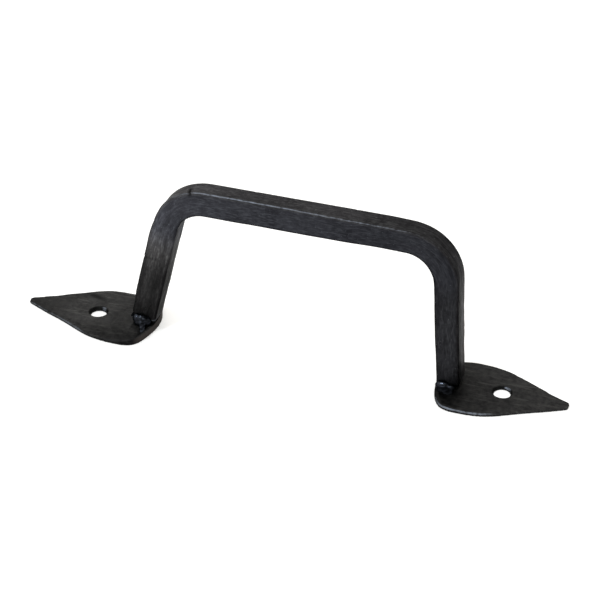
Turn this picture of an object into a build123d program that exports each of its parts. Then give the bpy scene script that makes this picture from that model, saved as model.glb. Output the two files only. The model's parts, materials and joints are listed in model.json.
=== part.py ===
from build123d import *
import os

# Forged iron pull handle: one bent square bar welded to two leaf-shaped screw plates.
# Millimetres. X runs from leaf to leaf, Z is up off the door. The origin is midway
# between the two screw holes, on the face that lies against the door.

BAR = 10.0                 # square bar, measured across the grip
BAR_EDGE = 0.8             # worn rounding along the bar's four long edges
TOP_HEIGHT = 72.0          # door face to the top of the grip
LEFT_CORNER_X = -57.4      # where the left leg's outer line meets the top line
RIGHT_CORNER_X = 67.6      # where the right leg's outer line meets the top line
LEFT_FOOT_X = -74.3        # outer line of the left leg at the door face
RIGHT_FOOT_X = 72.6        # outer line of the right leg at the door face
LEFT_LEG = 10.8            # the left leg is upset a little thicker by the forging
GRIP = 9.9
RIGHT_LEG = 9.6
LEFT_BEND = 24.0           # outer radius
LEFT_BEND_INNER = 12.6
RIGHT_BEND = 22.4
RIGHT_BEND_INNER = 12.6

HOLE_SPACING = 179.5
HOLE_RADIUS = 3.2
SINK_RADIUS = 4.3          # rim of the 90 degree countersink
SINK_DEPTH = SINK_RADIUS - HOLE_RADIUS

TIP_THICKNESS = 1.0
NOSE = (1.2, 1.8)          # distance from the tip and half width where the round nose ends

# Each leaf is hand cut and uneven. The flanks are listed from the tip to the heel as
# distance from the tip and half width.
LEFT_TIP = (-122.5, 0.9)
LEFT_HEEL = 60.4           # distance from the tip to the heel
LEFT_HEEL_THICKNESS = 3.3
LEFT_FRONT = [(10.0, 5.1), (22.0, 10.4), (33.0, 15.7), (46.0, 18.2), (55.5, 16.2), (59.0, 8.5)]
LEFT_REAR = [(8.0, 5.8), (20.0, 12.7), (30.0, 18.0), (40.0, 19.2), (54.0, 16.0), (59.2, 8.0)]
LEFT_SWELL_CENTRE = (-60.0, -3.0)
LEFT_SWELL_SIZE = (24.0, 21.0, 5.8)  # the heavy heel swells up around the foot of the leg

RIGHT_TIP = (117.6, 0.2)
RIGHT_HEEL = 55.0
RIGHT_HEEL_THICKNESS = 2.1
RIGHT_FRONT = [(9.0, 6.0), (21.0, 12.4), (31.0, 17.3), (41.0, 18.8), (49.5, 17.3), (53.8, 9.5)]
RIGHT_REAR = [(9.0, 5.5), (21.0, 11.9), (31.0, 16.0), (40.0, 17.1), (50.0, 14.4), (54.0, 8.0)]

# Weld beads around the feet: centre, then half length, half width and half height.
WELDS = {
    "left_front_weld": ((-67.0, -4.6, 5.4), (4.2, 2.7, 3.0)),
    "left_rear_weld": ((-67.0, 4.6, 5.2), (4.4, 2.7, 2.6)),
    "left_outer_weld": ((-72.6, 0.6, 4.6), (2.7, 4.0, 2.6)),
    "right_front_weld": ((67.0, -4.6, 2.2), (3.9, 2.7, 2.8)),
    "right_rear_weld": ((67.6, 4.6, 2.2), (4.2, 2.7, 2.4)),
}


def leg_line(foot_x, corner_x, inset):
    """Foot and top points of a leg line moved sideways by inset, square to the leg."""
    outer = Vector(corner_x - foot_x, TOP_HEIGHT)
    sideways = inset * outer.length / TOP_HEIGHT
    return (foot_x + sideways, 0.0), (corner_x + sideways, TOP_HEIGHT)


def height_point(line, height):
    """Point of a leg line at a given height."""
    (foot_x, _), (top_x, _) = line
    return foot_x + (top_x - foot_x) * height / TOP_HEIGHT, height


def grip_profile():
    """Side view of the bent bar, with the outer and inner radius of each bend."""
    left_outer = leg_line(LEFT_FOOT_X, LEFT_CORNER_X, 0.0)
    left_inner = leg_line(LEFT_FOOT_X, LEFT_CORNER_X, LEFT_LEG)
    right_outer = leg_line(RIGHT_FOOT_X, RIGHT_CORNER_X, 0.0)
    right_inner = leg_line(RIGHT_FOOT_X, RIGHT_CORNER_X, -RIGHT_LEG)
    under = TOP_HEIGHT - GRIP
    corners = [
        left_outer[0],
        left_outer[1],
        right_outer[1],
        right_outer[0],
        right_inner[0],
        height_point(right_inner, under),
        height_point(left_inner, under),
        left_inner[0],
    ]
    profile = make_face(Polyline(*corners, close=True))
    bends = {1: LEFT_BEND, 2: RIGHT_BEND, 5: RIGHT_BEND_INNER, 6: LEFT_BEND_INNER}
    for corner, radius in bends.items():
        x, z = corners[corner]
        vertex = profile.vertices().sort_by_distance((x, z, 0))[0]
        profile = fillet(vertex, radius)
    return profile


def make_grip():
    """Square bar bent into the grip, before its feet are cut to the leaves."""
    side = extrude(Plane.XZ * grip_profile(), amount=BAR / 2, both=True)
    long_edges = [edge for edge in side.edges() if abs(edge.center().Y) > BAR / 2 - 0.01]
    bent_edges = [edge for edge in long_edges if edge.center().Z > 0.01]
    return fillet(bent_edges, BAR_EDGE)


def leaf_outline(tip, toward_grip, front, rear, heel):
    """Leaf seen from above: round nose, hollow flanks, full belly and a round heel."""
    tip_x, tip_y = tip
    nose_u, nose_w = NOSE
    flank = [(nose_u, tip_y - nose_w)]
    flank += [(u, -w) for u, w in front]
    flank += [(heel, 0.0)]
    flank += [(u, w) for u, w in reversed(rear)]
    flank += [(nose_u, tip_y + nose_w)]
    placed = [(tip_x + toward_grip * u, y) for u, y in flank]
    body = Spline(*placed)
    nose = ThreePointArc(placed[-1], tip, placed[0])
    return make_face([body, nose])


def leaf_wedge(tip_x, toward_grip, heel, heel_thickness):
    """Block whose top slopes from the thin tip up to the thick heel."""
    heel_x = tip_x + toward_grip * heel
    run_out = 5.0
    slope = (heel_thickness - TIP_THICKNESS) / heel
    past_tip = (tip_x - toward_grip * run_out, TIP_THICKNESS - slope * run_out)
    past_heel = (heel_x + toward_grip * run_out, heel_thickness + slope * run_out)
    side = make_face(Polyline((past_tip[0], 0), past_tip, past_heel, (past_heel[0], 0), close=True))
    return extrude(Plane.XZ * side, amount=40.0, both=True)


def hole_cutter(x, surface):
    """Countersunk screw hole standing at x, with its rim at the leaf's upper surface."""
    shank = Cylinder(HOLE_RADIUS, 20.0)
    sink = Cone(HOLE_RADIUS, SINK_RADIUS, SINK_DEPTH, align=(Align.CENTER, Align.CENTER, Align.MIN))
    above = Cylinder(SINK_RADIUS, 5.0, align=(Align.CENTER, Align.CENTER, Align.MIN))
    sink_floor = surface - SINK_DEPTH
    return Pos(x, 0, 0) * shank + Pos(x, 0, sink_floor) * sink + Pos(x, 0, surface) * above


def make_leaf(tip, toward_grip, front, rear, heel, heel_thickness, swell=None):
    """One leaf plate with its screw hole."""
    tip_x, _ = tip
    outline = leaf_outline(tip, toward_grip, front, rear, heel)
    forging = leaf_wedge(tip_x, toward_grip, heel, heel_thickness)
    if swell:
        forging = forging + swell
    plate = forging & extrude(outline, amount=10.0)
    hole_x = -toward_grip * HOLE_SPACING / 2
    from_tip = abs(hole_x - tip_x)
    surface = TIP_THICKNESS + (heel_thickness - TIP_THICKNESS) * from_tip / heel
    return plate - hole_cutter(hole_x, surface)


def make_weld(centre, half_sizes, joined_parts):
    """Rounded bead in the corner between the side of a leg and its leaf."""
    bead = Pos(*centre) * scale(Sphere(1.0), by=half_sizes)
    bead = split(bead, Plane.XY.offset(centre[2] / 2), keep=Keep.TOP)
    for part in joined_parts:
        bead = bead - part
    return bead


left_swell = Pos(*LEFT_SWELL_CENTRE, 0.0) * scale(Sphere(1.0), by=LEFT_SWELL_SIZE)
left_leaf = make_leaf(
    LEFT_TIP, 1, LEFT_FRONT, LEFT_REAR, LEFT_HEEL, LEFT_HEEL_THICKNESS, left_swell
)
right_leaf = make_leaf(
    RIGHT_TIP, -1, RIGHT_FRONT, RIGHT_REAR, RIGHT_HEEL, RIGHT_HEEL_THICKNESS
)
grip = make_grip() - left_leaf - right_leaf

parts = {
    "grip_bar": grip,
    "left_leaf_plate": left_leaf,
    "right_leaf_plate": right_leaf,
}
for node, (centre, half_sizes) in WELDS.items():
    leaf = left_leaf if node.startswith("left") else right_leaf
    parts[node] = make_weld(centre, half_sizes, [grip, leaf])

os.makedirs("parts", exist_ok=True)
for node, shape in parts.items():
    export_step(shape, f"parts/{node}.step")
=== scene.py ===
import json
import math
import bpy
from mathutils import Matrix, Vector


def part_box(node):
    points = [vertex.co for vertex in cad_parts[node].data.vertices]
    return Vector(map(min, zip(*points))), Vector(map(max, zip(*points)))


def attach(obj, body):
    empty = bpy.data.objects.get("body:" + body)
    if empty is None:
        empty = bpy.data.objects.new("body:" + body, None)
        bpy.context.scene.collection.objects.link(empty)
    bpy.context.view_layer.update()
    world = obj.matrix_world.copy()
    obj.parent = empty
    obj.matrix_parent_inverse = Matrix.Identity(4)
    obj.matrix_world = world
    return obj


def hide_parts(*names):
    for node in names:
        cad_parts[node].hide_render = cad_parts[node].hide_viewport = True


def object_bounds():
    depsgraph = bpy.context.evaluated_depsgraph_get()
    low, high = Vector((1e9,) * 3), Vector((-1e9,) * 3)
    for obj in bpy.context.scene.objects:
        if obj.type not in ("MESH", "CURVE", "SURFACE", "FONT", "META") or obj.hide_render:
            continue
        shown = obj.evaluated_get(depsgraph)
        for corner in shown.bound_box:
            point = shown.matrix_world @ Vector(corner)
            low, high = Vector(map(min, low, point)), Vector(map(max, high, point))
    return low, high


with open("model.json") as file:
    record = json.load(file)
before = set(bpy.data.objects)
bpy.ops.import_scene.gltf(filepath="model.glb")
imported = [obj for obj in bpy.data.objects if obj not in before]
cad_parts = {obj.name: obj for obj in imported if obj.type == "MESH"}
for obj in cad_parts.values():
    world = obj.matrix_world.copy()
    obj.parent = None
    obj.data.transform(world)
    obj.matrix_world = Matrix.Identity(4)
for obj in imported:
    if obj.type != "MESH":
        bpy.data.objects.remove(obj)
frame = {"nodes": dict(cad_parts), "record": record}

from types import SimpleNamespace

import bmesh
import bpy
import numpy as np
from mathutils import Matrix, Vector, noise
from mathutils.bvhtree import BVHTree
from mathutils.kdtree import KDTree

# Forged iron pull handle in metres, in the CAD frame: a bent square bar, two leaf plates and the
# weld beads at the feet. Left is -X, the front is -Y and the door face is at Z = 0.

cad_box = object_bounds()
MM = 0.001

# ---------------------------------------------------------------- measured from the frame


def cad_tree(node):
    """Ray-casting tree of one CAD node."""
    mesh = frame["nodes"][node].data
    corners = [v.co.copy() for v in mesh.vertices]
    faces = [tuple(p.vertices) for p in mesh.polygons]
    return BVHTree.FromPolygons(corners, faces)


def crossings(tree, start, direction):
    """Every point where a ray passes through a CAD surface, in order."""
    found = []
    origin = Vector(start)
    step = Vector(direction)
    while True:
        hit = tree.ray_cast(origin, step)[0]
        if hit is None:
            return found
        found.append(hit)
        origin = hit + step * 1e-5


LOW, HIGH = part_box("grip_bar")
BAR_WIDTH = HIGH.y - LOW.y
GRIP_TOP = HIGH.z
bar_tree = cad_tree("grip_bar")


def leg_section(height, side):
    """Centre X and thickness of one leg at a height."""
    start = (side * 0.2, 0.0, height)
    outer, inner = crossings(bar_tree, start, (-side, 0.0, 0.0))[:2]
    return (outer.x + inner.x) / 2, abs(outer.x - inner.x)


def leg_line(side):
    """Foot point and top point of a leg's centre line, and the leg's square thickness."""
    low_height, high_height = 12 * MM, 32 * MM
    low_x, across = leg_section(low_height, side)
    high_x, _ = leg_section(high_height, side)
    lean = (high_x - low_x) / (high_height - low_height)
    grip_height = GRIP_TOP - grip_thickness / 2
    foot = Vector((low_x - lean * low_height, 0.0, 0.0))
    top = Vector((low_x + lean * (grip_height - low_height), 0.0, grip_height))
    return foot, top, across / math.sqrt(1 + lean * lean)


grip_hits = crossings(bar_tree, (0.0, 0.0, 0.2), (0.0, 0.0, -1.0))
grip_thickness = grip_hits[0].z - grip_hits[1].z
left_foot, left_top, left_thickness = leg_line(-1)
right_foot, right_top, right_thickness = leg_line(1)

HOLE_SPACING = frame["record"]["mounts"][0]["dims"]["spacing_x_mm"] * MM

# ---------------------------------------------------------------- small shape helpers


def smooth(low, high, value):
    """0 below low, 1 above high, with a smooth rise between them."""
    t = np.clip((value - low) / (high - low), 0.0, 1.0)
    return t * t * (3 - 2 * t)


def bump(centre, width, value):
    """A bell that is 1 at centre and fades over width."""
    return np.exp(-((value - centre) / width) ** 2)


def waves(points, scale, seed):
    """Smooth noise in -1..1 at each point, in features of about scale metres."""
    shift = Vector((seed * 17.3, seed * 5.1, -seed * 9.7))
    return np.array([noise.noise(Vector(p) / scale + shift) for p in points])


def new_piece(name, points, faces):
    """Mesh object with smooth shading."""
    mesh = bpy.data.meshes.new(name)
    mesh.from_pydata([tuple(p) for p in points], [], [tuple(f) for f in faces])
    mesh.validate()
    mesh.polygons.foreach_set("use_smooth", [True] * len(mesh.polygons))
    piece = bpy.data.objects.new(name, mesh)
    bpy.context.scene.collection.objects.link(piece)
    return piece


def read_points(piece):
    """Vertex positions of a mesh as an array."""
    flat = np.zeros(len(piece.data.vertices) * 3)
    piece.data.vertices.foreach_get("co", flat)
    return flat.reshape(-1, 3)


def write_points(piece, points):
    """Puts an array of positions back into a mesh."""
    piece.data.vertices.foreach_set("co", points.ravel())
    piece.data.update()


def read_normals(piece):
    """Vertex normals of a mesh as an array."""
    flat = np.zeros(len(piece.data.vertices) * 3)
    piece.data.vertex_normals.foreach_get("vector", flat)
    return flat.reshape(-1, 3)


def store(piece, name, values):
    """Keeps one number per vertex for a material to read."""
    attribute = piece.data.attributes.new(name, "FLOAT", "POINT")
    attribute.data.foreach_set("value", np.asarray(values, dtype=np.float32))


def apply_modifiers(piece):
    """Replaces a piece's mesh by its modified mesh."""
    graph = bpy.context.evaluated_depsgraph_get()
    done = bpy.data.meshes.new_from_object(piece.evaluated_get(graph))
    piece.modifiers.clear()
    piece.data = done


def remesh(piece, voxel, rounds):
    """Even fine mesh with edges eased a little."""
    cells = piece.modifiers.new("cells", "REMESH")
    cells.mode = "VOXEL"
    cells.voxel_size = voxel
    cells.use_smooth_shade = True
    ease = piece.modifiers.new("ease", "SMOOTH")
    ease.factor = 0.5
    ease.iterations = rounds
    apply_modifiers(piece)


# ---------------------------------------------------------------- the bent bar


def rounded_path(corners, radii, step):
    """Points along a line whose inner corners are rounded, with their directions."""
    points, directions = [], []

    def add_run(start, end):
        length = (end - start).length
        count = max(2, round(length / step))
        for i in range(count):
            points.append(start.lerp(end, i / count))
            directions.append((end - start).normalized())

    place = corners[0]
    for i, radius in enumerate(radii, start=1):
        before = (corners[i] - corners[i - 1]).normalized()
        after = (corners[i + 1] - corners[i]).normalized()
        turn = before.angle(after)
        reach = radius * math.tan(turn / 2)
        bend_start = corners[i] - before * reach
        add_run(place, bend_start)
        axis = before.cross(after).normalized()
        centre = bend_start + axis.cross(before) * radius
        count = max(4, round(turn * radius / step))
        for k in range(count):
            spin = Matrix.Rotation(turn * k / count, 3, axis)
            points.append(centre + spin @ (bend_start - centre))
            directions.append(spin @ before)
        place = corners[i] + after * reach
    add_run(place, corners[-1])
    points.append(corners[-1])
    directions.append(directions[-1])
    return points, directions


def square_ring(half_n, half_y, radii, per_side, per_corner):
    """Rounded square as rows of (outward, across), starting at the front outer corner.

    The corners run front outer, rear outer, rear inner, front inner, each with its own radius.
    """
    ring = []
    signs = [(1, -1), (1, 1), (-1, 1), (-1, -1)]
    for corner, (sign_n, sign_y) in enumerate(signs):
        radius = radii[corner]
        middle = (sign_n * (half_n - radius), sign_y * (half_y - radius))
        for k in range(per_corner + 1):
            angle = math.pi / 2 * (corner - 1 + k / per_corner)
            ring.append((middle[0] + radius * math.cos(angle), middle[1] + radius * math.sin(angle)))
        following = (corner + 1) % 4
        next_n, next_y = signs[following]
        next_radius = radii[following]
        next_angle = math.pi / 2 * corner
        start = ring[-1]
        end = (
            next_n * (half_n - next_radius) + next_radius * math.cos(next_angle),
            next_y * (half_y - next_radius) + next_radius * math.sin(next_angle),
        )
        for k in range(1, per_side):
            share = k / per_side
            ring.append((start[0] + (end[0] - start[0]) * share, start[1] + (end[1] - start[1]) * share))
    return ring


LEFT_BEND = 18.3 * MM           # centre-line radii of the two bends
RIGHT_BEND = 17.5 * MM
LEFT_SEAT = 5.65 * MM           # how far above the door face each leg's cut end sits
RIGHT_SEAT = 2.1 * MM
EDGE_RADIUS = 0.9 * MM
LEFT_OUTER_RADIUS = 1.6 * MM    # the left leg's edges are hammered rounder towards its foot
LEFT_INNER_RADIUS = 1.4 * MM
SWELL = 0.32 * MM               # scale and wax on top of the bar's nominal size
FOOT_SAMPLE = 9 * MM            # below this height a leg keeps the thickness it has here
PER_SIDE = 18                   # steps along each flat side of a ring, and around each corner
PER_CORNER = 6
RING_STEP = 0.5 * MM            # distance from one ring to the next

# Full and flat places as middle, half length and rise in millimetres. The first two are placed
# by their height on a leg's outer side, the other two by their distance along the bar.
LEFT_SHOULDER = (55.0, 5.0, -0.7)
RIGHT_SHOULDER = (49.0, 9.0, 0.35)
TOP_BEFORE_BEND = (160.0, 9.0, -0.35)
UNDER_GRIP_END = (148.0, 10.0, -0.30)

# From the top of the left leg to the middle of the grip the front outer edge is pushed back and
# outward, by these shares at distances along the bar from its left foot.
PUSHED_STOPS = np.array([40, 60, 75, 110, 135]) * MM
PUSHED_SHARES = [0.0, 1.0, 1.0, 0.8, 0.0]
PUSHED_BACK = 0.6 * MM
PUSHED_OUT = 0.35 * MM

NICKS = [                       # X, length and depth in mm of dents in the grip's front upper edge
    (-46.0, 1.2, 0.20), (-36.5, 0.8, 0.22), (-31.0, 1.6, 0.16), (-21.8, 0.9, 0.20), (-6.0, 0.7, 0.18),
    (3.5, 1.8, 0.12), (14.0, 0.8, 0.20), (22.0, 1.4, 0.15), (33.5, 1.0, 0.20), (43.0, 1.2, 0.22),
]
LEG_DENTS = [(36.3, 0.26), (54.0, 0.12)]    # height and depth in mm of dents across the left leg's front
CRACK_X = -43.4 * MM            # short crack across the top of the grip at the left bend
CRACK_REACH = 6.5 * MM
CRACK_WIDTH = 0.42 * MM
CRACK_DEPTH = 0.7 * MM

# Painted light and shade at stops along the bar, from the left foot to the right one: painted
# brightness of the front, rear and inner sides, painted brightness of the outer side, and how far
# the outer edges are worn bright, part wear and part painted highlight.
SHADE_STOPS = np.array([0, 8, 25, 42, 58, 66, 80, 92, 115, 150, 170, 190, 208, 225, 240]) * MM
FRONT_SHADES = [0.42, 0.44, 0.65, 1.85, 0.90, 0.85, 0.77, 0.74, 0.67, 0.51, 0.56, 0.45, 0.53, 0.46, 0.42]
OUTER_SHADES = [0.50, 0.60, 0.70, 1.00, 1.40, 1.65, 1.10, 0.92, 1.15, 0.90, 0.74, 0.52, 1.30, 1.20, 0.75]
EDGE_WEAR_AND_HIGHLIGHT = [0.25, 0.3, 0.3, 0.40, 0.72, 0.90, 0.95, 0.9, 0.75, 0.7, 0.52, 0.4, 0.35, 0.3, 0.25]


def swelling(where, value):
    """Smooth swelling: where gives its middle, half length and rise in millimetres."""
    middle, half_length, rise = where
    return rise * MM * bump(middle * MM, half_length * MM, value)


def bar_course():
    """The bar's centre line, ring by ring from the left foot to the right one."""
    corners = [left_foot, left_top, right_top, right_foot]
    places, directions = rounded_path(corners, [LEFT_BEND, RIGHT_BEND], RING_STEP)
    kept = [i for i, p in enumerate(places) if p.z > (LEFT_SEAT if p.x < 0 else RIGHT_SEAT)]
    centre = np.array([tuple(places[i]) for i in kept])
    outward = np.array([(-directions[i].z, 0.0, directions[i].x) for i in kept])
    along = np.concatenate([[0.0], np.cumsum(np.linalg.norm(np.diff(centre, axis=0), axis=1))])
    return SimpleNamespace(
        centre=centre,
        outward=outward,
        along=along,
        from_end=np.minimum(along, along[-1] - along),
        height=centre[:, 2],
        on_left=centre[:, 0] < 0,
        upright=smooth(0.35, 0.9, np.abs(outward[:, 0])),
    )


def reach_of(course, direction):
    """Distance from each ring's centre to the CAD bar's surface, smoothed along the bar."""
    centre = course.centre
    sound = np.nonzero(course.height > FOOT_SAMPLE)[0]
    reach = np.zeros(len(centre))
    for i in sound:
        start = Vector(centre[i] + direction[i] * 15 * MM)
        hit = bar_tree.ray_cast(start, Vector(-direction[i]))[0]
        reach[i] = (hit - Vector(centre[i])).length + SWELL
    reach[:sound[0]] = reach[sound[0]]
    reach[sound[-1]:] = reach[sound[-1]]
    padded = np.pad(reach, 3, mode="edge")
    return np.convolve(padded, np.full(7, 1 / 7), mode="valid")


def bar_reaches(course):
    """How far the bar reaches outward and inward from its centre line, ring by ring."""
    height, on_left = course.height, course.on_left
    outer = reach_of(course, course.outward)
    outer += on_left * swelling(LEFT_SHOULDER, height)
    outer += ~on_left * swelling(RIGHT_SHOULDER, height)
    outer += swelling(TOP_BEFORE_BEND, course.along)
    inner = reach_of(course, -course.outward)
    inner += swelling(UNDER_GRIP_END, course.along)
    # the right leg is a little slimmer on its inner side, most of all near the foot
    slimmer = 2 - smooth(12 * MM, 30 * MM, height) - smooth(45 * MM, 60 * MM, height)
    inner -= 0.20 * MM * ~on_left * slimmer
    return outer, inner


def bar_sections(course, thickness):
    """Outline of every ring as distances outward and across, with the feet drawn in."""
    low_left = course.on_left * (1 - smooth(30 * MM, 55 * MM, course.height))
    outer_radii = EDGE_RADIUS + (LEFT_OUTER_RADIUS - EDGE_RADIUS) * low_left
    inner_radii = EDGE_RADIUS + (LEFT_INNER_RADIUS - EDGE_RADIUS) * low_left
    sections = []
    for half, outer, inner in zip(thickness / 2, outer_radii, inner_radii):
        radii = [outer, outer, inner, inner]
        sections.append(square_ring(half, BAR_WIDTH / 2 + SWELL, radii, PER_SIDE, PER_CORNER))
    section = np.array(sections)
    n, y = section[:, :, 0], section[:, :, 1]

    # the left leg's outer side draws in towards its foot, and both cut ends are eased
    drawn_in = 0.6 * MM * (1 - smooth(13 * MM, 19 * MM, course.height))
    drawn_in += 1.1 * MM * (1 - smooth(5 * MM, 9 * MM, course.height))
    n = n - (n > 0) * (course.on_left * drawn_in)[:, None] * (n / (thickness / 2)[:, None])
    ease = 1 - 0.18 * (1 - np.sqrt(np.clip(course.from_end / (1.2 * MM), 0.0, 1.0)))
    return n * ease[:, None], y * ease[:, None]


def bar_skin(course, outer_reach, inner_reach):
    """Every point of the swept bar before its marks, with its normal and how it faces.

    out runs from -1 on the inner side to 1 on the outer side, back from -1 in front to 1 behind.
    A track is a point's distance along, outward and across the bar.
    """
    thickness = outer_reach + inner_reach
    shift = (outer_reach - inner_reach) / 2
    n, y = bar_sections(course, thickness)
    around = n.shape[1]
    middle = course.centre + course.outward * shift[:, None]
    points = middle[:, None, :] + course.outward[:, None, :] * n[:, :, None]
    points[:, :, 1] += y
    out = n / (thickness / 2)[:, None]
    back = y / (BAR_WIDTH / 2)
    facing = np.stack([out ** 7, back ** 7], axis=2)
    facing /= np.linalg.norm(facing, axis=2, keepdims=True)
    normals = course.outward[:, None, :] * facing[:, :, :1]
    normals[:, :, 1] += facing[:, :, 1]

    pushed = smooth(0.3, 1.0, out) * smooth(0.3, 1.0, -back)
    pushed *= np.interp(course.along, PUSHED_STOPS, PUSHED_SHARES)[:, None]
    points[:, :, 1] += PUSHED_BACK * pushed
    points += course.outward[:, None, :] * PUSHED_OUT * pushed[:, :, None]

    track = np.stack([np.repeat(course.along[:, None], around, axis=1), n, y], axis=2)
    edge = np.minimum(np.abs(out), np.abs(back))
    return SimpleNamespace(
        around=around,
        half_thickness=thickness.mean() / 2,
        points=points.reshape(-1, 3),
        normals=normals.reshape(-1, 3),
        track=track.reshape(-1, 3),
        out=out.ravel(),
        edge=edge.ravel(),
        outer_front=((out > 0) & (back < 0)).ravel(),
        leg=np.repeat(course.upright > 0.5, around),
    )


def leg_dents(course, skin):
    """Depth in millimetres of the dents across the left leg's front."""
    outward, across = skin.track[:, 1], skin.track[:, 2]
    height = np.repeat(course.height, skin.around)
    outer_half = smooth(-1.5 * MM, 0.5 * MM, outward) * np.repeat(course.on_left, skin.around)
    dents = np.zeros(len(height))
    for dent_height, depth in LEG_DENTS:
        rising = height - dent_height * MM - 0.2 * (skin.half_thickness - outward)
        dents += depth * bump(0.0, 0.5 * MM, rising) * outer_half * (across < 0)
    return dents


def crack_strength(course, skin):
    """1 along the short crack in the top of the grip and 0 elsewhere."""
    from_front = skin.track[:, 2] + BAR_WIDTH / 2
    skewed = np.repeat(course.centre[:, 0], skin.around) - CRACK_X + 0.25 * from_front
    fade = 1 - smooth(CRACK_REACH * 0.7, CRACK_REACH, from_front)
    on_grip = np.repeat(course.upright < 0.5, skin.around)
    return bump(0.0, CRACK_WIDTH, skewed) * smooth(0.6, 0.9, skin.out) * fade * on_grip


def forged_lift(course, skin):
    """How far hammering, drawn grooves, pits and edge nicks move each point along its normal."""
    track = skin.track
    hammered = waves(track * np.array([0.55, 1.0, 1.0]), 7 * MM, 1)
    grooves = waves(track * np.array([0.12, 1.0, 1.0]), 1.3 * MM, 2)
    pits = waves(track, 1.6 * MM, 3)
    beaten = waves(track * np.array([0.5, 1.0, 1.0]), 2.0 * MM, 4)
    lift = 0.10 * MM * hammered + (0.035 + 0.05 * skin.leg) * MM * grooves
    lift += 0.09 * MM * beaten * skin.leg * (np.abs(skin.out) > 0.6)
    lift -= 0.10 * MM * smooth(0.35, 0.75, pits)
    ring_x = np.repeat(course.centre[:, 0], skin.around)
    on_grip = np.repeat(course.upright < 0.5, skin.around)
    upper_front = skin.outer_front * smooth(0.80, 0.97, skin.edge) * on_grip
    for x, length, depth in NICKS:
        lift -= depth * MM * bump(x * MM, length * MM, ring_x) * upper_front
    return lift


def swept_faces(rings, around):
    """Quads between neighbouring rings, and a fan over each end to a hub listed after the rings."""
    faces = []
    for i in range(rings - 1):
        for j in range(around):
            a, b = i * around + j, i * around + (j + 1) % around
            faces.append((a, b, b + around, a + around))
    first_hub = rings * around
    for j in range(around):
        faces.append(((j + 1) % around, j, first_hub))
    last_ring = (rings - 1) * around
    for j in range(around):
        faces.append((last_ring + j, last_ring + (j + 1) % around, first_hub + 1))
    return faces


def left_inner_side(course, skin):
    """True on the inner side of the left half of the bar."""
    return np.repeat(course.on_left, skin.around) * (skin.out < -0.7)


def bar_wear_and_highlight(course, skin):
    """How far each point's edge is worn bright, part wear and part painted highlight, with a painted
    highlight on the lip of the left leg's cut end.
    """
    rubbed_and_lit = np.repeat(np.interp(course.along, SHADE_STOPS, EDGE_WEAR_AND_HIGHLIGHT), skin.around)
    rubbed_and_lit *= 1 - 0.85 * (skin.out < 0)
    worn_and_highlight = smooth(0.84, 0.98, skin.edge) * rubbed_and_lit
    from_end = np.repeat(course.from_end, skin.around)
    lip_highlight = left_inner_side(course, skin) * bump(2.1 * MM, 0.6 * MM, from_end)
    return np.maximum(worn_and_highlight, 0.7 * lip_highlight)


def foot_seam_shade(course, skin):
    """Painted shade, 1 in the open joint at the very end of the left leg's inner side."""
    from_end = np.repeat(course.from_end, skin.around)
    return left_inner_side(course, skin) * (1 - smooth(0.9 * MM, 1.5 * MM, from_end))


def low_leg(course):
    """1 on the lower part of both legs."""
    return course.upright * (1 - smooth(40 * MM, 55 * MM, course.height))


def bar_shade(course, skin, outer_side, dents):
    """Painted light and shade at every point of the bar, darker in the left leg's dents."""
    along = course.along
    outward, across = skin.track[:, 1], skin.track[:, 2]
    front = np.repeat(np.interp(along, SHADE_STOPS, FRONT_SHADES), skin.around)
    outer = np.repeat(np.interp(along, SHADE_STOPS, OUTER_SHADES), skin.around)
    left_leg = np.repeat(course.on_left * course.upright, skin.around)
    band = bump(-2.6 * MM, 1.9 * MM, outward) * (across < 0) * left_leg
    shade = (front + (outer - front) * outer_side) * (1 - 0.38 * band) * (1 - 1.6 * dents)

    # painted shade on the inner side towards its front, and on the right leg a shaded front half and lit
    # rear half of the outer side
    inner_side = smooth(0.75, 0.95, -skin.out)
    rear_half = smooth(-3.2 * MM, -0.2 * MM, across)
    shade *= 1 - inner_side * (0.60 - 0.42 * rear_half)
    right_leg = np.repeat(~course.on_left * smooth(170 * MM, 182 * MM, along), skin.around)
    shade *= 1 + outer_side * right_leg * (0.75 * rear_half - 0.50)
    # painted light: a bright strip on the outer side at the right bend
    far_bend = np.repeat(~course.on_left * bump(195 * MM, 8 * MM, along), skin.around)
    shade *= 1 + 0.9 * outer_side * far_bend * smooth(0.5 * MM, 2.5 * MM, across)

    # painted shade on the outer front corner of the lower legs
    front_corner = smooth(0.65, 0.95, skin.edge) * skin.outer_front
    low_right = np.repeat(~course.on_left * smooth(188 * MM, 200 * MM, along), skin.around)
    low_left = np.repeat(course.on_left * low_leg(course), skin.around)
    return shade * (1 - 0.6 * front_corner * low_right) * (1 - 0.3 * front_corner * low_left)


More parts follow.
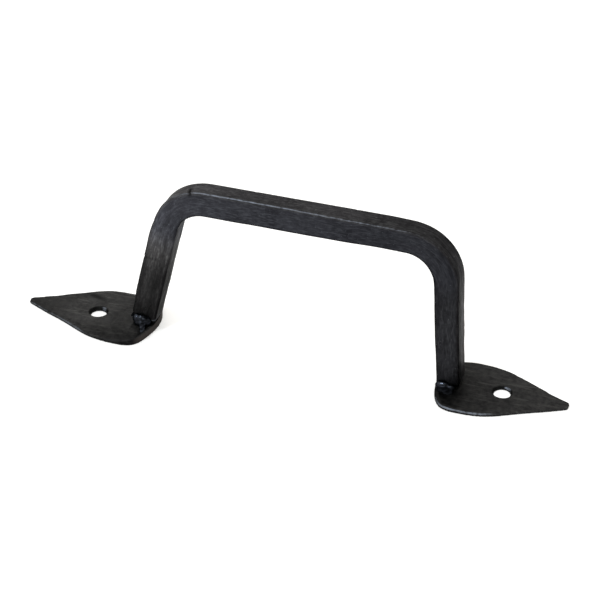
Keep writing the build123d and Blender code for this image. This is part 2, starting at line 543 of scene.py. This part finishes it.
def grip_piece():
    """The bent bar swept along its centre line, with the marks of forging in its surface."""
    course = bar_course()
    skin = bar_skin(course, *bar_reaches(course))
    dents = leg_dents(course, skin)
    crack = crack_strength(course, skin)
    lift = forged_lift(course, skin) - dents * MM - CRACK_DEPTH * crack
    points = skin.points + skin.normals * lift[:, None]
    hubs = [points[:skin.around].mean(axis=0), points[-skin.around:].mean(axis=0)]
    faces = swept_faces(len(course.along), skin.around)
    piece = new_piece("grip", np.vstack([points, hubs]), faces)

    def keep(name, values, at_hubs=(0.0, 0.0)):
        store(piece, name, np.concatenate([values, at_hubs]))

    outer_side = smooth(0.75, 0.95, skin.out)
    keep("lengthwise", skin.track[:, 0], (0.0, course.along[-1]))
    keep("outward", skin.track[:, 1])
    keep("across", skin.track[:, 2])
    keep("worn_and_highlight", bar_wear_and_highlight(course, skin))
    # the crack's mark also carries the painted shade of the left foot's joint
    keep("crack", np.maximum(crack, foot_seam_shade(course, skin)))
    keep("leg", skin.leg, (1.0, 1.0))
    keep("warm", np.repeat(np.where(course.on_left, 1.0, 0.4) * low_leg(course), skin.around))
    keep("outer_side", outer_side)
    keep("shade", bar_shade(course, skin, outer_side, dents))
    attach(piece, "root")
    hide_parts("grip_bar")
    return piece


# ---------------------------------------------------------------- the leaf plates

LEAF_CELL = 0.3 * MM
# Distances from the heel, and the height of the rim's upper edge at each of them.
LEFT_RIM = (np.array([0, 4, 8, 13, 20]) * MM, np.array([3.6, 3.2, 2.2, 1.3, 1.0]) * MM)
RIGHT_RIM = (np.array([0, 20]) * MM, np.array([1.3, 1.1]) * MM)


def outline_of(node, hole_x):
    """Densely spaced points around a leaf's outline at the door face, without its hole."""
    shape = bmesh.new()
    shape.from_mesh(frame["nodes"][node].data)
    bmesh.ops.remove_doubles(shape, verts=shape.verts, dist=1e-6)
    points = []
    for edge in shape.edges:
        normals = [face.normal.z for face in edge.link_faces]
        if len(normals) < 2 or min(normals) > -0.9 or max(normals) < -0.5:
            continue
        first, last = [v.co for v in edge.verts]
        if math.hypot(first.x - hole_x, first.y) < 6 * MM:
            continue
        count = max(1, round((last - first).length / (0.3 * MM)))
        points += [first.lerp(last, k / count) for k in range(count)]
    shape.free()
    tree = KDTree(len(points))
    for index, point in enumerate(points):
        tree.insert((point.x, point.y, 0.0), index)
    tree.balance()
    return tree


def leaf_shade(points, side):
    """Painted light and shade on a leaf: darker beside the leg and towards the front, lighter in places
    along it, with painted light beside the left bead and one dark diagonal streak on the left leaf.
    """
    x, y = points[:, 0] / MM, points[:, 1] / MM
    if side > 0:
        shade = np.interp(x, [62, 75, 90, 110], [0.55, 0.82, 1.0, 1.27])
        return shade * (1 + 0.20 * smooth(2, 12, y)) * (1 - 0.45 * bump(-9, 5, y) * bump(66, 7, x))
    shade = np.interp(x, [-118, -108, -100, -90, -78, -66], [0.85, 1.0, 1.35, 1.38, 0.95, 0.75])
    dark_streak = bump(0, 1.8, y - 11.2 + 0.35 * (x + 95.5)) * bump(-95.5, 6.0, x)
    painted_light_beside_weld = bump(-68, 4, x) * bump(-10.5, 3.5, y)
    return shade * (1 - 0.30 * (1 - smooth(-16, -6, y))) * (1 - 0.65 * dark_streak) * (1 + 0.6 * painted_light_beside_weld)


def leaf_facts(node, seed, points):
    """What the shaping and the finish of a leaf need to know about each of its points."""
    low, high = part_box(node)
    side = -1 if high.x < 0 else 1
    hole_x = side * HOLE_SPACING / 2
    outline = outline_of(node, hole_x)
    from_heel = side * points[:, 0] - (low.x if side > 0 else -high.x)
    edge_height = np.interp(from_heel, *(LEFT_RIM if side < 0 else RIGHT_RIM))
    edge_height += 0.25 * MM * smooth(0.0, 6 * MM, points[:, 1])
    # the left leaf's heel rises towards the rear
    heel_rise = 0.8 * MM * (1 - smooth(2 * MM, 6 * MM, from_heel)) * smooth(-5 * MM, 3 * MM, points[:, 1])
    heel_rise *= side < 0
    return SimpleNamespace(
        side=side,
        seed=seed,
        hole_x=hole_x,
        depth=np.array([outline.find((p[0], p[1], 0.0))[2] for p in points]),
        from_heel=from_heel,
        hole_distance=np.hypot(points[:, 0] - hole_x, points[:, 1]),
        edge_height=edge_height + heel_rise,
        heel_rise=heel_rise,
    )


def thin_leaf(node, leaf, points):
    """Lowers the upper side towards the rim, and the left heel clear of the leg's cut end."""
    tree = cad_tree(node)

    def top_height(p):
        hit = tree.ray_cast(Vector((p[0], p[1], 0.05)), Vector((0.0, 0.0, -1.0)))[0]
        return hit.z if hit else p[2]

    tops = np.array([top_height(p) for p in points])
    rounding = 0.25 * MM * (1 - np.exp(-leaf.depth / (0.25 * MM)))
    limit = leaf.edge_height + 0.38 * leaf.depth + rounding
    if leaf.side < 0:
        under_leg = 1 - smooth(3.6 * MM, 4.4 * MM, leaf.from_heel)
        limit += (np.minimum(limit, 4.0 * MM + leaf.heel_rise) - limit) * under_leg
    points[:, 2] *= np.minimum(1.0, limit / np.maximum(tops, 0.5 * MM))


def hammer_leaf(leaf, points):
    """Hammer marks on the upper side, away from the hole."""
    clear_of_hole = smooth(4.6 * MM, 7.0 * MM, leaf.hole_distance)
    upper = smooth(0.25 * MM, 0.9 * MM, points[:, 2])
    broad = waves(points, 9 * MM, leaf.seed)
    dents = waves(points, 3.0 * MM, leaf.seed + 1)
    fine = waves(points, 1.1 * MM, leaf.seed + 2)
    points[:, 2] += upper * clear_of_hole * MM * (0.12 * broad + 0.06 * dents + 0.02 * fine)


def trim_leaf(leaf, points):
    """Spreads the rim and the hole a little, unevenly, as a hand-cut leaf has them."""
    near_rim = 1 - smooth(0.0, 2.5 * MM, leaf.depth)
    wobble = waves(points * np.array([1.0, 1.0, 0.0]), 6 * MM, leaf.seed + 3)
    rear = smooth(-1 * MM, 1 * MM, points[:, 1])
    outward = np.sign(points[:, 1]) * near_rim
    fuller = smooth(38 * MM, 50 * MM, leaf.from_heel) if leaf.side > 0 else 0.25 * rear
    points[:, 1] += outward * MM * (0.18 + 0.24 * rear + 0.35 * fuller - 0.10 * wobble)
    if leaf.side > 0:
        points[:, 0] -= 0.35 * MM * (1 - smooth(0.0, 4 * MM, leaf.from_heel))
    in_hole = 1 - smooth(3.2 * MM, 3.9 * MM, leaf.hole_distance)
    spread = 1 + 0.2 * MM * in_hole / np.maximum(leaf.hole_distance, MM)
    points[:, 0] = leaf.hole_x + (points[:, 0] - leaf.hole_x) * spread
    points[:, 1] *= spread + 0.12 * in_hole * rear


def hole_glint(leaf, points, sink):
    """Painted glint: a bright spot on the rear right of the countersink."""
    turn = np.arctan2(points[:, 1], points[:, 0] - leaf.hole_x)
    spot = bump(math.radians(66), math.radians(28), turn) * smooth(0.5 * MM, 0.8 * MM, points[:, 2])
    return (1.4 if leaf.side > 0 else 1.0) * sink * spot


def finish_leaf(piece, leaf, points):
    """Stores where the rim is worn bright or carries a painted highlight and glint, where the heel's wall
    takes a painted warm light, and the painted light and shade.
    """
    side, from_heel = leaf.side, leaf.from_heel
    below = smooth(0.15 * MM, 0.45 * MM, leaf.edge_height - points[:, 2])
    at_rim = 1 - smooth(0.25 * MM, 0.8 * MM, leaf.depth)
    # painted warm light on the left heel's wall
    heel = (1 - smooth(2.2 * MM, 5.5 * MM, from_heel)) * (side < 0)
    shaded_wall = at_rim * below * (1 - heel)
    sink = 1 - smooth(4.0 * MM, 4.7 * MM, leaf.hole_distance)
    # painted shade on the rim's wall and in the countersunk hole
    shade = leaf_shade(points, side) * (1 - 0.5 * shaded_wall) * (1 - 0.72 * sink)
    if side < 0:
        # how far the rim is rubbed bright, part wear and part painted highlight
        wear_and_highlight = 0.4 * smooth(7 * MM, 11 * MM, from_heel) + 0.3 * smooth(20 * MM, 32 * MM, from_heel)
        # painted shade on the ledge by the left leg's cut end
        ledge_shade = (1 - smooth(1.6 * MM, 2.8 * MM, from_heel)) * smooth(-6.5 * MM, -4.0 * MM, points[:, 1])
        shade *= 1 - 0.9 * ledge_shade * (1 - below)
    else:
        wear_and_highlight = smooth(0.8 * MM, 3.5 * MM, from_heel) - 0.6 * smooth(20 * MM, 32 * MM, from_heel)
    # the rim's mark also carries the hole's painted glint
    store(piece, "rim", at_rim * (1 - below) * wear_and_highlight + hole_glint(leaf, points, sink))
    store(piece, "heel", heel * at_rim * below * (points[:, 2] > 0.2 * MM))
    store(piece, "shade", shade)


def leaf_piece(node, name, seed):
    """Leaf plate worked from its CAD solid: thin rim, hammered face and a crisp hole."""
    piece = bpy.data.objects.new(name, frame["nodes"][node].data.copy())
    bpy.context.scene.collection.objects.link(piece)
    remesh(piece, LEAF_CELL, 2)
    piece.data.materials.clear()
    points = read_points(piece)
    leaf = leaf_facts(node, seed, points)
    thin_leaf(node, leaf, points)
    hammer_leaf(leaf, points)
    trim_leaf(leaf, points)
    write_points(piece, points)
    finish_leaf(piece, leaf, points)
    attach(piece, "root")
    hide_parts(node)
    return piece


# ---------------------------------------------------------------- the weld beads

WELD_CELL = 0.16 * MM
WELD_LUMPS = {                  # share of the CAD bead's box in X, Y and Z, then half sizes in mm
    "left_front_weld": [
        ((0.24, 0.70, 0.48), (2.0, 1.9, 2.2)), ((0.48, 0.60, 0.52), (2.2, 2.0, 2.3)),
        ((0.76, 0.66, 0.32), (1.9, 1.8, 2.0)), ((0.45, 0.30, 0.18), (2.9, 2.0, 1.6)),
        ((0.50, 0.30, 0.74), (2.9, 1.1, 0.9)), ((0.54, -0.12, 0.30), (2.4, 1.0, 0.9)),
        ((0.66, -0.65, 0.12), (1.0, 2.4, 1.1)), ((0.78, -1.60, 0.02), (0.8, 2.4, 0.9)),
    ],
    "left_rear_weld": [
        ((0.30, 0.40, 0.40), (2.2, 1.6, 1.5)), ((0.65, 0.40, 0.35), (2.2, 1.5, 1.4)),
    ],
    "left_outer_weld": [
        ((0.86, 0.35, 0.02), (0.9, 2.6, 1.2)), ((0.86, 0.62, 0.02), (0.9, 2.6, 1.3)),
    ],
    "right_front_weld": [
        ((0.36, 0.62, 0.38), (3.2, 1.8, 2.0)), ((0.74, 0.60, 0.22), (2.2, 1.7, 1.5)),
        ((0.52, 0.10, 0.04), (3.5, 2.6, 1.6)), ((0.70, -0.35, 0.00), (2.2, 2.2, 1.2)),
    ],
    "right_rear_weld": [
        ((0.30, 0.35, 0.35), (2.0, 1.5, 1.4)), ((0.68, 0.35, 0.30), (2.1, 1.4, 1.3)),
    ],
}


def weld_piece(node, name, lumps, seed):
    """Lumpy weld bead: overlapping drops placed from the CAD bead's box, melted together.

    Each lump is (share of the box in X, Y and Z, then its half sizes in millimetres).
    """
    low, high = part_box(node)
    size = high - low
    shape = bmesh.new()
    for share, radii in lumps:
        place = Vector([low[i] + size[i] * share[i] for i in range(3)])
        stretch = Matrix.Diagonal((radii[0] * MM, radii[1] * MM, radii[2] * MM, 1.0))
        placed = Matrix.Translation(place) @ stretch
        bmesh.ops.create_icosphere(shape, subdivisions=4, radius=1.0, matrix=placed)
    mesh = bpy.data.meshes.new(name)
    shape.to_mesh(mesh)
    shape.free()
    piece = bpy.data.objects.new(name, mesh)
    bpy.context.scene.collection.objects.link(piece)
    remesh(piece, WELD_CELL, 12)
    points = read_points(piece)
    swell = 0.14 * MM * waves(points, 1.7 * MM, seed) + 0.03 * MM * waves(points, 0.7 * MM, seed + 1)
    write_points(piece, points + read_normals(piece) * swell[:, None])
    up_and_forward = read_normals(piece) @ np.array([0.0, -0.6, 0.8])
    upper = smooth(0.40, 0.70, (points[:, 2] - low.z) / size.z)
    # painted highlight where the upper bead faces up and forward, towards the key light
    store(piece, "shine", smooth(0.74, 0.96, up_and_forward) * upper)
    # painted light and shade: the lower part of the bead darker, the drips in front of the left bead
    # lighter as they catch more light
    ahead = (high.x < 0) * smooth(0.4 * MM, 1.4 * MM, low.y - points[:, 1])
    store(piece, "shade", 0.45 + 0.55 * upper + 1.2 * ahead)
    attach(piece, "root")
    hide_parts(node)
    return piece


# ---------------------------------------------------------------- materials


def new_material(name):
    """Empty node material with its Principled shader."""
    material = bpy.data.materials.new(name)
    material.use_nodes = True
    return material, material.node_tree.nodes, material.node_tree.links


def add(nodes, kind, **settings):
    """Shader node with some of its settings or inputs filled in."""
    made = nodes.new(kind)
    for key, value in settings.items():
        if hasattr(made, key):
            setattr(made, key, value)
        else:
            made.inputs[key.replace("_", " ").capitalize()].default_value = value
    return made


def attribute(nodes, name):
    """Value stored on the vertices under a name."""
    return add(nodes, "ShaderNodeAttribute", attribute_name=name).outputs["Fac"]


def maths(nodes, links, operation, first, second):
    """Two numbers or sockets through one Math node."""
    made = add(nodes, "ShaderNodeMath", operation=operation)
    for slot, value in enumerate((first, second)):
        if isinstance(value, (int, float)):
            made.inputs[slot].default_value = value
        else:
            links.new(value, made.inputs[slot])
    return made.outputs[0]


def ramp(nodes, links, value, stops):
    """Colour ramp fed by a value, with (place, grey or colour) stops."""
    made = nodes.new("ShaderNodeValToRGB")
    elements = made.color_ramp.elements
    while len(elements) < len(stops):
        elements.new(0.5)
    for element, (place, colour) in zip(elements, stops):
        element.position = place
        shade = (colour,) * 3 if isinstance(colour, (int, float)) else colour
        element.color = (*shade, 1.0)
    links.new(value, made.inputs[0])
    return made.outputs[0]


def noise_of(nodes, links, vector, scale, detail=4.0, roughness=0.55):
    """Fractal noise in features of 1 / scale metres."""
    made = nodes.new("ShaderNodeTexNoise")
    made.inputs["Scale"].default_value = scale
    made.inputs["Detail"].default_value = detail
    made.inputs["Roughness"].default_value = roughness
    links.new(vector, made.inputs["Vector"])
    return made.outputs["Fac"]


def mix(nodes, links, factor, first, second):
    """Blend of two colours by a factor."""
    made = nodes.new("ShaderNodeMix")
    made.data_type = "RGBA"
    for socket, value in ((made.inputs[0], factor), (made.inputs[6], first), (made.inputs[7], second)):
        if isinstance(value, tuple):
            socket.default_value = (*value, 1.0)
        elif isinstance(value, (int, float)):
            socket.default_value = value
        else:
            links.new(value, socket)
    return made.outputs[2]


def overlay(nodes, links, tone, value, stops, colour):
    """A tone covered with a colour, as far as a ramp of a value says."""
    return mix(nodes, links, ramp(nodes, links, value, stops), tone, colour)


def bumps(nodes, links, height, distance, strength, before=None):
    """Bump node, stacked on another when one is given."""
    made = nodes.new("ShaderNodeBump")
    made.inputs["Distance"].default_value = distance
    made.inputs["Strength"].default_value = strength
    links.new(height, made.inputs["Height"])
    if before:
        links.new(before, made.inputs["Normal"])
    return made.outputs["Normal"]


def scaled(nodes, links, colour, amount):
    """A colour multiplied by a number."""
    made = add(nodes, "ShaderNodeVectorMath", operation="SCALE")
    links.new(colour, made.inputs[0])
    links.new(amount, made.inputs["Scale"])
    return made.outputs[0]


def iron_shader(nodes, grazing):
    """Oxidised iron: dark metal that doesn't brighten much when seen edge on."""
    shader = nodes["Principled BSDF"]
    shader.inputs["Metallic"].default_value = 1.0
    shader.inputs["Specular Tint"].default_value = (grazing, grazing, grazing, 1.0)
    return shader


WORN_AND_HIGHLIGHT_METAL = (0.19, 0.21, 0.25)     # iron rubbed bright along the edges, also the colour of the painted highlights on edges, rims and the hole's glint


def bar_material():
    """Black waxed forge finish with drawn lines that follow the bent bar, under painted light and shade,
    with worn edges that carry a painted highlight.
    """
    material, nodes, links = new_material("black_iron")
    shader = iron_shader(nodes, 0.48)
    track = nodes.new("ShaderNodeCombineXYZ")
    links.new(attribute(nodes, "lengthwise"), track.inputs[0])
    links.new(attribute(nodes, "outward"), track.inputs[1])
    links.new(attribute(nodes, "across"), track.inputs[2])
    stretched = nodes.new("ShaderNodeMapping")
    stretched.inputs["Scale"].default_value = (0.18, 1.0, 1.0)
    links.new(track.outputs[0], stretched.inputs["Vector"])
    lines = noise_of(nodes, links, stretched.outputs[0], 1500.0, 3.0, 0.6)
    strands = noise_of(nodes, links, stretched.outputs[0], 380.0, 2.0, 0.5)
    mottle = noise_of(nodes, links, track.outputs[0], 420.0, 6.0, 0.7)
    patches = noise_of(nodes, links, track.outputs[0], 90.0, 3.0, 0.5)
    specks = noise_of(nodes, links, track.outputs[0], 1300.0, 2.0, 0.5)

    tone = ramp(nodes, links, patches, [(0.35, (0.024, 0.024, 0.028)), (0.65, (0.036, 0.036, 0.042))])
    tone = overlay(nodes, links, tone, mottle, [(0.46, 0.0), (0.68, 0.7)], (0.062, 0.063, 0.072))
    tone = overlay(nodes, links, tone, lines, [(0.48, 0.0), (0.64, 0.55)], (0.085, 0.087, 0.098))
    facets = maths(nodes, links, "MULTIPLY", attribute(nodes, "leg"), strands)
    tone = overlay(nodes, links, tone, facets, [(0.50, 0.0), (0.62, 0.5)], (0.014, 0.014, 0.016))
    tone = overlay(nodes, links, tone, specks, [(0.68, 0.0), (0.76, 0.8)], (0.15, 0.16, 0.18))
    # painted cast of light: bluish on the front, rear and inner sides, warm on the outer side
    tint = mix(nodes, links, attribute(nodes, "outer_side"), (0.97, 1.0, 1.04), (1.05, 1.03, 0.97))
    tint = mix(nodes, links, attribute(nodes, "warm"), tint, (1.05, 1.025, 0.915))
    tinted = add(nodes, "ShaderNodeVectorMath", operation="MULTIPLY")
    links.new(tone, tinted.inputs[0])
    links.new(tint, tinted.inputs[1])
    # painted light and shade, stored per point
    tone = scaled(nodes, links, tinted.outputs[0], attribute(nodes, "shade"))
    # rubbed-bright edges, part wear and part painted highlight
    wear_and_highlight = maths(nodes, links, "MULTIPLY", attribute(nodes, "worn_and_highlight"), mottle)
    tone = overlay(nodes, links, tone, wear_and_highlight, [(0.26, 0.0), (0.52, 0.85)], WORN_AND_HIGHLIGHT_METAL)
    # near black in the crack and in the foot joint's painted shade
    tone = mix(nodes, links, attribute(nodes, "crack"), tone, (0.003, 0.003, 0.003))
    links.new(tone, shader.inputs["Base Color"])
    rough = ramp(nodes, links, mottle, [(0.30, 0.34), (0.70, 0.48)])
    links.new(rough, shader.inputs["Roughness"])
    normal = bumps(nodes, links, lines, 0.06 * MM, 0.7)
    normal = bumps(nodes, links, mottle, 0.16 * MM, 0.7, normal)
    links.new(normal, shader.inputs["Normal"])
    return material


def leaf_material():
    """Darker, duller forge finish with mottling, scratches and a worn rim that carries painted
    highlights, under painted light and shade.
    """
    material, nodes, links = new_material("leaf_iron")
    shader = iron_shader(nodes, 0.55)
    place = nodes.new("ShaderNodeTexCoord").outputs["Object"]
    patches = noise_of(nodes, links, place, 130.0, 4.0, 0.55)
    mottle = noise_of(nodes, links, place, 450.0, 6.0, 0.7)
    stretched = nodes.new("ShaderNodeMapping")
    stretched.inputs["Scale"].default_value = (0.12, 1.0, 1.0)
    stretched.inputs["Rotation"].default_value = (0.0, 0.0, 0.35)
    links.new(place, stretched.inputs["Vector"])
    scratches = noise_of(nodes, links, stretched.outputs[0], 1000.0, 2.0, 0.5)
    tone = ramp(nodes, links, patches, [(0.35, (0.0215, 0.0215, 0.0225)), (0.66, (0.033, 0.033, 0.0345))])
    tone = overlay(nodes, links, tone, mottle, [(0.46, 0.0), (0.68, 0.7)], (0.055, 0.055, 0.054))
    tone = overlay(nodes, links, tone, mottle, [(0.34, 0.6), (0.46, 0.0)], (0.014, 0.014, 0.014))
    tone = overlay(nodes, links, tone, scratches, [(0.56, 0.0), (0.70, 0.5)], (0.075, 0.075, 0.074))
    tone = scaled(nodes, links, tone, attribute(nodes, "shade"))
    # painted warm light on the left heel's wall
    heel = maths(nodes, links, "MULTIPLY", attribute(nodes, "heel"), 0.6)
    tone = mix(nodes, links, heel, tone, (0.052, 0.043, 0.038))
    # worn rim with painted highlights, and the hole's painted glint
    wear_and_highlight = maths(nodes, links, "MULTIPLY", attribute(nodes, "rim"), mottle)
    tone = overlay(nodes, links, tone, wear_and_highlight, [(0.24, 0.0), (0.52, 0.85)], WORN_AND_HIGHLIGHT_METAL)
    links.new(tone, shader.inputs["Base Color"])
    links.new(ramp(nodes, links, mottle, [(0.30, 0.38), (0.70, 0.55)]), shader.inputs["Roughness"])
    normal = bumps(nodes, links, scratches, 0.04 * MM, 0.6)
    normal = bumps(nodes, links, mottle, 0.16 * MM, 0.7, normal)
    links.new(normal, shader.inputs["Normal"])
    return material


def weld_material():
    """Blackened weld metal, glossy and with a painted highlight on the upper ridges, under painted shade
    low down.
    """
    material, nodes, links = new_material("weld_bead")
    shader = iron_shader(nodes, 0.28)
    place = nodes.new("ShaderNodeTexCoord").outputs["Object"]
    mottle = noise_of(nodes, links, place, 600.0, 4.0, 0.6)
    tone = ramp(nodes, links, mottle, [(0.38, (0.009, 0.010, 0.012)), (0.66, (0.030, 0.033, 0.042))])
    tone = scaled(nodes, links, tone, attribute(nodes, "shade"))
    painted_highlight = maths(nodes, links, "MULTIPLY", attribute(nodes, "shine"), mottle)
    tone = overlay(nodes, links, tone, painted_highlight, [(0.32, 0.0), (0.68, 0.75)], (0.085, 0.098, 0.125))
    links.new(tone, shader.inputs["Base Color"])
    roughness = ramp(nodes, links, attribute(nodes, "shine"), [(0.10, 0.50), (0.80, 0.22)])
    links.new(roughness, shader.inputs["Roughness"])
    links.new(bumps(nodes, links, mottle, 0.06 * MM, 0.5), shader.inputs["Normal"])
    return material


# ---------------------------------------------------------------- floor, lights and camera


def floor_and_world():
    """Plain pale floor under a plain pale sky."""
    floor_height = cad_box[0][2] - 0.05 * MM
    bpy.ops.mesh.primitive_plane_add(size=6.0, location=(0.0, 0.0, floor_height))
    floor = bpy.context.object
    floor.name = "floor"
    material, nodes, _ = new_material("pale_floor")
    shader = nodes["Principled BSDF"]
    shader.inputs["Base Color"].default_value = (0.93, 0.93, 0.93, 1.0)
    shader.inputs["Roughness"].default_value = 0.9
    shader.inputs["Specular IOR Level"].default_value = 0.1
    shader.inputs["Emission Color"].default_value = (1.0, 1.0, 1.0, 1.0)
    shader.inputs["Emission Strength"].default_value = 0.4
    floor.data.materials.append(material)
    world = bpy.data.worlds.new("studio")
    world.use_nodes = True
    sky = world.node_tree.nodes["Background"]
    sky.inputs["Color"].default_value = (1.0, 0.98, 0.93, 1.0)
    sky.inputs["Strength"].default_value = 0.85
    bpy.context.scene.world = world


def soft_light(name, place, aim, size, power, colour):
    """Square area light at a place, turned towards a point."""
    data = bpy.data.lights.new(name, "AREA")
    data.size = size
    data.energy = power
    data.color = colour
    light = bpy.data.objects.new(name, data)
    light.location = place
    light.rotation_euler = (Vector(aim) - Vector(place)).to_track_quat("-Z", "Y").to_euler()
    bpy.context.scene.collection.objects.link(light)


def add_camera():
    """Camera above and to the right of the handle's front."""
    aim = Vector((1.9, 0.0, 27.5)) * MM
    azimuth = math.radians(17.76)
    elevation = math.radians(32.11)
    roll = math.radians(1.06)
    distance = 816 * MM
    back = Vector((
        math.sin(azimuth) * math.cos(elevation),
        -math.cos(azimuth) * math.cos(elevation),
        math.sin(elevation),
    ))
    level = (-back).cross(Vector((0.0, 0.0, 1.0))).normalized()
    upright = level.cross(-back)
    right = math.cos(roll) * level + math.sin(roll) * upright
    up = math.cos(roll) * upright - math.sin(roll) * level
    data = bpy.data.cameras.new("camera")
    data.lens = 118.0
    data.sensor_width = 36.0
    data.clip_start = 0.05
    camera = bpy.data.objects.new("camera", data)
    axes = Matrix((right, up, back)).transposed().to_4x4()
    camera.matrix_world = Matrix.Translation(aim + back * distance) @ axes
    bpy.context.scene.collection.objects.link(camera)
    bpy.context.scene.camera = camera


# ---------------------------------------------------------------- build the scene

grip = grip_piece()
grip.data.materials.append(bar_material())

leaf_iron = leaf_material()
for node, name, seed in (("left_leaf_plate", "left_leaf", 11), ("right_leaf_plate", "right_leaf", 23)):
    leaf_piece(node, name, seed).data.materials.append(leaf_iron)

weld_iron = weld_material()
for seed, (node, lumps) in enumerate(WELD_LUMPS.items(), start=40):
    bead = weld_piece(node, node.replace("_weld", "_bead"), lumps, seed)
    bead.data.materials.append(weld_iron)

floor_and_world()
soft_light("key", (-0.36, -0.74, 1.17), (0.0, 0.0, 0.05), 0.16, 4.4, (0.86, 0.93, 1.0))
soft_light("rear", (-0.75, 1.3, 0.9), (0.0, 0.0, 0.03), 0.6, 1.5, (1.0, 0.98, 0.93))
add_camera()
bpy.context.scene.view_settings.view_transform = "Standard"
